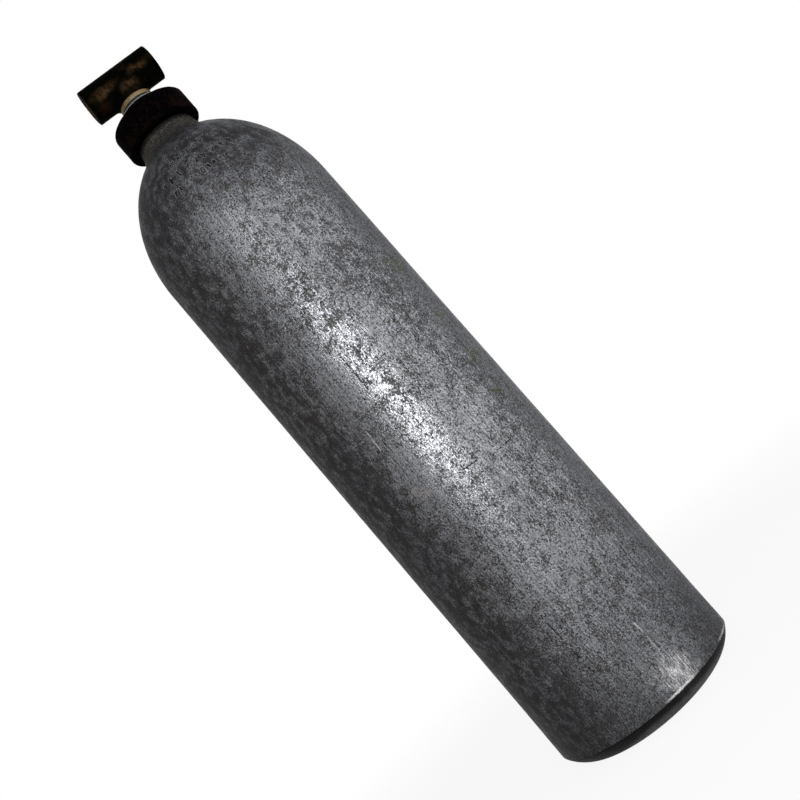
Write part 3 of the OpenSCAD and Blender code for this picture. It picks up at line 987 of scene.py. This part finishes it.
def body_distance(places):
    """Distance from the outside of the valve's barrel and leg, blended where they meet."""
    half = (spindle_x - outlet_x) / 2
    middle = (spindle_x + outlet_x) / 2
    across = np.hypot(places[:, 1], places[:, 2] - barrel_z) - (barrel_r - BARREL_ROUND)
    along = np.abs(places[:, 0] - middle) - (half - BARREL_ROUND)
    barrel = (np.minimum(np.maximum(across, along), 0)
              + np.hypot(np.maximum(across, 0), np.maximum(along, 0)) - BARREL_ROUND)
    leg = np.hypot(places[:, 0], places[:, 1]) - leg_r
    leg = np.where(places[:, 2] > barrel_z, np.hypot(leg, places[:, 2] - barrel_z), leg)
    mixing = np.maximum(SADDLE - np.abs(barrel - leg), 0) / SADDLE
    return np.minimum(barrel, leg) - mixing * mixing * SADDLE / 4


def body_slope(places):
    """The direction in which the distance grows."""
    step = 0.05 * MM
    slope = np.empty_like(places)
    for axis in range(3):
        offset = np.zeros(3)
        offset[axis] = step
        slope[:, axis] = body_distance(places + offset) - body_distance(places - offset)
    return slope / np.maximum(np.linalg.norm(slope, axis=1), 1e-9)[:, None]


def hole_radius(end_x):
    """The radius of the barrel's hole where it comes out at one end."""
    points = frame["nodes"]["valve_body"].data.vertices
    corners = [point.co for point in points if abs(point.co.x - end_x) < 0.01 * MM]
    return min(math.hypot(corner.y, corner.z - barrel_z) for corner in corners)


def snap_hole(places, end_x, inward):
    """Puts the points about a hole's mouth exactly on its wall and its end; returns those on neither."""
    radius = hole_radius(end_x)
    from_axis = np.hypot(places[:, 1], places[:, 2] - barrel_z)
    depth = (places[:, 0] - end_x) * inward
    near_end = depth < MOUTH_REACH
    on_wall = near_end & (np.abs(from_axis - radius) < SNAP)
    scale = np.where(on_wall, radius / np.maximum(from_axis, 1e-9), 1)
    places[:, 1] *= scale
    places[:, 2] = barrel_z + (places[:, 2] - barrel_z) * scale
    at_face = on_wall & (depth < SNAP)
    places[at_face, 0] = end_x
    return ~near_end | (from_axis > radius + SNAP)


def cast_grain(place):
    """The unevenness of the cast skin at a point, about 0 to 1."""
    broad_size, fine_size = CAST_SIZES
    return 0.5 + 0.35 * noise.noise(place / broad_size) + 0.15 * noise.noise(place / fine_size)


def valve_mesh():
    """The cast valve body, with a smooth saddle at the T and an uneven skin."""
    mesh = with_modifier(welded_copy("valve_body"), "REMESH", mode="VOXEL", voxel_size=VALVE_VOXEL)
    places = point_array(mesh, "co")
    nearness = np.abs(body_distance(places))
    outside = (nearness < SKIN_REACH) & (places[:, 2] > leg_z + LEG_MARGIN)
    outside &= snap_hole(places, outlet_x, 1)
    outside &= snap_hole(places, spindle_x, -1)
    for _ in range(SETTLING_PASSES):
        chosen = places[outside]
        places[outside] = chosen - body_slope(chosen) * body_distance(chosen)[:, None]
    rough = np.array([cast_grain(Vector(p)) for p in places[outside]])
    places[outside] -= body_slope(places[outside]) * (rough * CAST_DEPTH)[:, None]
    set_places(mesh, places)
    return mesh


# ---------------------------------------------------------------- outlet thread
THREAD_PITCH = 1.814 * MM
THREAD_DEPTH = 1.1 * MM
THREAD_ROWS = 12             # points along one turn of the thread
THREAD_SIDES = 96
BACKING = 0.05 * MM          # between the thread's back and the socket's wall
ROOT_WALL = 0.25 * MM        # of the lining, behind the thread's roots
END_GAP = 0.3 * MM           # between the lining and each end of the socket
FLANK = 3.2                  # how steep the ridge's sides are
CREST = 1.25                 # above 1, which makes the ridge's top flat


def thread_mesh(mouth_x, depth, socket_r):
    """A threaded lining for the outlet's socket, on the barrel's axis."""
    turns = depth / THREAD_PITCH
    rows = round(turns * THREAD_ROWS)
    back = socket_r - BACKING
    places, faces = [], []
    for i in range(rows + 1):
        x = mouth_x + depth * i / rows
        for k in range(THREAD_SIDES):
            angle = FULL_TURN * k / THREAD_SIDES
            phase = ((x - mouth_x) / THREAD_PITCH - k / THREAD_SIDES) % 1
            ridge = min(1, max(0, CREST - abs(phase - 0.5) * FLANK))
            lead = min(1, i / THREAD_ROWS, (rows - i) / THREAD_ROWS)
            radius = back - ROOT_WALL - THREAD_DEPTH * ridge * lead
            places.append((x, radius * math.cos(angle), barrel_z + radius * math.sin(angle)))
    for i in (rows, 0):
        x = mouth_x + depth * i / rows
        for k in range(THREAD_SIDES):
            angle = FULL_TURN * k / THREAD_SIDES
            places.append((x, back * math.cos(angle), barrel_z + back * math.sin(angle)))
    loops = rows + 3
    for i in range(loops):
        for k in range(THREAD_SIDES):
            n = (k + 1) % THREAD_SIDES
            j = (i + 1) % loops
            faces.append((i * THREAD_SIDES + k, j * THREAD_SIDES + k,
                          j * THREAD_SIDES + n, i * THREAD_SIDES + n))
    mesh = bpy.data.meshes.new("outlet_thread")
    mesh.from_pydata(places, [], faces)
    mesh.validate()
    return mesh


def edged_mesh(node, width):
    """A CAD node with its edges taken off."""
    return with_modifier(welded_copy(node), "BEVEL", width=width, segments=2, limit_method="ANGLE",
                         angle_limit=math.radians(SHARP), use_clamp_overlap=True)


# ---------------------------------------------------------------- stage
FLOOR_GLOW_NEAR = 0.90       # how much of the floor's look is plain white close to the object
FLOOR_GLOW_START = 0.35      # from this distance the floor fades to plain white, in metres
FLOOR_GLOW_END = 0.90
FLOOR_HALF = 6.0             # half of the floor's width, in metres
FLOOR_PAINT = (0.86, 0.86, 0.86, 1)
ROOM_LEVEL = 0.22            # the world's light on dull surfaces


def add_floor():
    """A pale floor that keeps the object's shadow and fades to white."""
    g = Graph("floor")
    path = g.node("ShaderNodeLightPath")
    seen = g.math("MAXIMUM", path.outputs["Is Camera Ray"], path.outputs["Is Glossy Ray"])
    seen = g.math("MAXIMUM", seen, path.outputs["Is Transmission Ray"])
    away = g.vector("LENGTH", g.node("ShaderNodeTexCoord").outputs["Object"])
    glow_share = g.step(away, FLOOR_GLOW_START, FLOOR_GLOW_END, FLOOR_GLOW_NEAR, 1.0)
    paint = g.node("ShaderNodeBsdfDiffuse", {"Color": FLOOR_PAINT})
    glow = g.node("ShaderNodeEmission", {"Color": (1, 1, 1, 1), "Strength": 1.0})
    mixed = g.node("ShaderNodeMixShader", {
        0: g.math("MULTIPLY", seen, glow_share), 1: paint.outputs[0], 2: glow.outputs[0]})
    g.tree.links.new(mixed.outputs[0], g.output.inputs["Surface"])
    corners = [(x * FLOOR_HALF, y * FLOOR_HALF, 0) for x, y in ((-1, -1), (1, -1), (1, 1), (-1, 1))]
    mesh = bpy.data.meshes.new("floor")
    mesh.from_pydata(corners, [], [(0, 1, 2, 3)])
    mesh.materials.append(g.material)
    floor = bpy.data.objects.new("floor", mesh)
    bpy.context.scene.collection.objects.link(floor)


def add_world():
    """White to the camera and in reflections, and a plain soft level on dull surfaces."""
    world = bpy.data.worlds.new("studio")
    bpy.context.scene.world = world
    world.use_nodes = True
    tree = world.node_tree
    tree.nodes.clear()
    output = tree.nodes.new("ShaderNodeOutputWorld")
    background = tree.nodes.new("ShaderNodeBackground")
    background.inputs["Color"].default_value = (1, 1, 1, 1)
    path = tree.nodes.new("ShaderNodeLightPath")
    seen = path.outputs["Is Camera Ray"]
    for ray in ("Is Glossy Ray", "Is Transmission Ray"):
        either = tree.nodes.new("ShaderNodeMath")
        either.operation = "MAXIMUM"
        tree.links.new(seen, either.inputs[0])
        tree.links.new(path.outputs[ray], either.inputs[1])
        seen = either.outputs[0]
    level = tree.nodes.new("ShaderNodeMapRange")
    level.inputs["To Min"].default_value = ROOM_LEVEL
    level.inputs["To Max"].default_value = 1.0
    tree.links.new(seen, level.inputs["Value"])
    tree.links.new(level.outputs[0], background.inputs["Strength"])
    tree.links.new(background.outputs[0], output.inputs["Surface"])


# ---------------------------------------------------------------- assembly
outlet_mount = next(mount for mount in frame["record"]["mounts"] if mount["name"] == "outlet")
socket_r = outlet_mount["dims"]["r_mm"] * MM
socket_depth = outlet_mount["dims"]["length_mm"] * MM

add_camera()
add_world()
add_floor()
for lamp_name, placing in LAMPS.items():
    add_softbox(lamp_name, *placing)

finishes = {
    "weathered_aluminium": weathered_aluminium(foot_edge() / MM),
    "rusty_steel": rusty_steel(),
    "patinated_bronze": patinated_bronze(socket_r / MM),
    "bare_brass": bare_brass(),
}
for finish_name, look in WORN_FINISHES.items():
    finishes[finish_name] = worn_surface(finish_name, *look)

slot_of = {part["node"]: part["material_slot"] for part in frame["record"]["subparts"]}
for node_name, node in frame["nodes"].items():
    node.data.materials.clear()
    node.data.materials.append(finishes[slot_of[node_name]])

new_piece("shell_skin", shell_mesh(), "weathered_aluminium", "cylinder", ["cylinder_shell"])
new_piece("rusted_ring", ring_mesh(), "rusty_steel", "cylinder", ["neck_ring"], CAST_SHARP)
new_piece("cast_body", valve_mesh(), "patinated_bronze", "cylinder", ["valve_body"],
          CAST_SHARP)
new_piece("outlet_thread", thread_mesh(outlet_x + END_GAP, socket_depth - 2 * END_GAP, socket_r),
          "patinated_bronze", "cylinder")
# Turned pieces: name, CAD node, how much is taken off the edges in millimetres, slot and body
for piece_name, node_name, edge, slot_name, body in (
        ("seal_band", "seal_ring", 0.45, "bare_brass", "cylinder"),
        ("bonnet_turned", "bonnet", 0.25, "valve_brass", "cylinder"),
        ("nut_turned", "packing_nut", 0.2, "steel", "cylinder"),
        ("spindle_turned", "spindle", 0.2, "steel", "spindle")):
    new_piece(piece_name, edged_mesh(node_name, edge * MM), slot_name, body, [node_name])

bpy.context.scene.view_settings.view_transform = "Standard"
